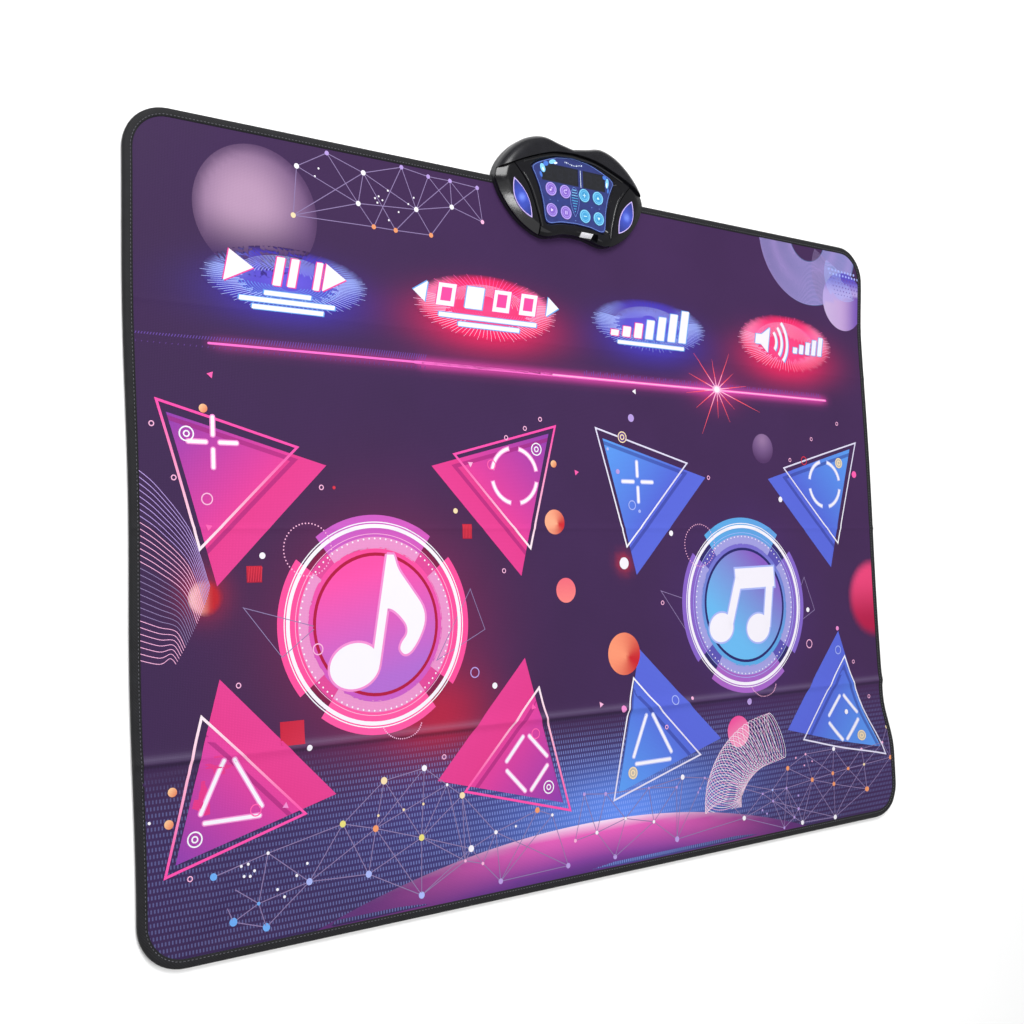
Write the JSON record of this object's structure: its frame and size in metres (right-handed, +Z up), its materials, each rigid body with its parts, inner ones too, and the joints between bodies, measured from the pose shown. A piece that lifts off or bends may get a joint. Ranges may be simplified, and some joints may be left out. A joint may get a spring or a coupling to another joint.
{
  "type": "dance rhythm machine",
  "caption": "Folding two-player dance mat with printed step pads and a battery console clamped over its far edge.",
  "frame": {"origin": "middle of the footprint, on the floor", "axes": "+X side to side, +Y from the players towards the console, +Z up"},
  "size_m": [1.2, 0.962, 0.025],
  "materials": {
    "printed_cloth": "satin printed cloth",
    "film": "clear polyester film",
    "foam": "foam",
    "conductive_ink": "carbon ink",
    "backing_rubber": "matt non-slip",
    "binding_cloth": "woven tape",
    "steel": "plated",
    "black_plastic": "fine texture",
    "grey_plastic": "satin",
    "gloss_black": "gloss",
    "panel_print": "gloss print",
    "lens_blue": "translucent gloss",
    "board_white": "matt",
    "key_violet": "satin",
    "key_cyan": "satin",
    "display_dark": "gloss",
    "circuit_board": "solder mask",
    "cell_wrap": "gloss wrap",
    "spring_steel": "plated",
    "white_plastic": "satin",
    "foot_rubber": "matt"
  },
  "bodies": {
    "mat_upper": {"cover_upper": "printed_cloth", "contact_film_upper": "film", "spacer_foam_upper": "foam", "circuit_film_upper": "film", "contact_patches_upper": "conductive_ink", "cushion_upper": "foam", "backing_upper": "backing_rubber", "binding_upper": "binding_cloth", "tail_ribbon": "film", "clamp_bar": "steel", "clamp_screws": "steel", "console_base": "black_plastic", "crest_shell": "grey_plastic", "panel_frame": "gloss_black", "control_panel": "panel_print", "left_pod": "gloss_black", "right_pod": "gloss_black", "left_lens": "lens_blue", "right_lens": "lens_blue", "lens_lamps": "board_white", "left_display": "display_dark", "right_display": "display_dark", "main_board": "circuit_board", "board_screws": "steel", "tact_switches": "black_plastic", "left_speaker": "black_plastic", "right_speaker": "black_plastic", "battery_cells": "cell_wrap", "battery_contacts": "spring_steel", "power_switch": "black_plastic", "rubber_feet": "foot_rubber", "case_screws": "steel"},
    "mat_middle": {"cover_middle": "printed_cloth", "contact_film_middle": "film", "spacer_foam_middle": "foam", "circuit_film_middle": "film", "contact_patches_middle": "conductive_ink", "cushion_middle": "foam", "backing_middle": "backing_rubber", "binding_middle": "binding_cloth"},
    "mat_lower": {"cover_lower": "printed_cloth", "contact_film_lower": "film", "spacer_foam_lower": "foam", "circuit_film_lower": "film", "contact_patches_lower": "conductive_ink", "cushion_lower": "foam", "backing_lower": "backing_rubber", "binding_lower": "binding_cloth"},
    "battery_door": {"battery_door": "black_plastic"},
    "power_knob": {"power_knob": "white_plastic"},
    "key_1": {"key_1": "key_violet"},
    "key_2": {"key_2": "key_violet"},
    "key_3": {"key_3": "key_cyan"},
    "key_4": {"key_4": "key_cyan"},
    "key_5": {"key_5": "key_violet"},
    "key_6": {"key_6": "key_violet"},
    "key_7": {"key_7": "key_cyan"},
    "key_8": {"key_8": "key_cyan"}
  },
  "joints": [
    {"name": "middle_fold", "type": "hinge", "parent": "mat_upper", "child": "mat_middle", "pos_m": [0, -0.031, 0.0085], "axis": [-1, 0, 0], "range_deg": [0, 120]},
    {"name": "lower_fold", "type": "hinge", "parent": "mat_middle", "child": "mat_lower", "pos_m": [0, -0.271, 0.0085], "axis": [-1, 0, 0], "range_deg": [0, 175]},
    {"name": "key_1_press", "type": "slide", "parent": "mat_upper", "child": "key_1", "axis": [0, 0, -1], "range_m": [0, 0.0007], "stiffness_N_per_m": 1500, "springref_m": -0.0003},
    {"name": "key_2_press", "type": "slide", "parent": "mat_upper", "child": "key_2", "axis": [0, 0, -1], "range_m": [0, 0.0007], "stiffness_N_per_m": 1500, "springref_m": -0.0003},
    {"name": "key_3_press", "type": "slide", "parent": "mat_upper", "child": "key_3", "axis": [0, 0, -1], "range_m": [0, 0.0007], "stiffness_N_per_m": 1500, "springref_m": -0.0003},
    {"name": "key_4_press", "type": "slide", "parent": "mat_upper", "child": "key_4", "axis": [0, 0, -1], "range_m": [0, 0.0007], "stiffness_N_per_m": 1500, "springref_m": -0.0003},
    {"name": "key_5_press", "type": "slide", "parent": "mat_upper", "child": "key_5", "axis": [0, 0, -1], "range_m": [0, 0.0007], "stiffness_N_per_m": 1500, "springref_m": -0.0003},
    {"name": "key_6_press", "type": "slide", "parent": "mat_upper", "child": "key_6", "axis": [0, 0, -1], "range_m": [0, 0.0007], "stiffness_N_per_m": 1500, "springref_m": -0.0003},
    {"name": "key_7_press", "type": "slide", "parent": "mat_upper", "child": "key_7", "axis": [0, 0, -1], "range_m": [0, 0.0007], "stiffness_N_per_m": 1500, "springref_m": -0.0003},
    {"name": "key_8_press", "type": "slide", "parent": "mat_upper", "child": "key_8", "axis": [0, 0, -1], "range_m": [0, 0.0007], "stiffness_N_per_m": 1500, "springref_m": -0.0003},
    {"name": "battery_door_slide", "type": "slide", "parent": "mat_upper", "child": "battery_door", "axis": [0, 1, 0], "range_m": [0, 0.048]},
    {"name": "power_slide", "type": "slide", "parent": "mat_upper", "child": "power_knob", "axis": [1, 0, 0], "range_m": [0, 0.005]}
  ]
}
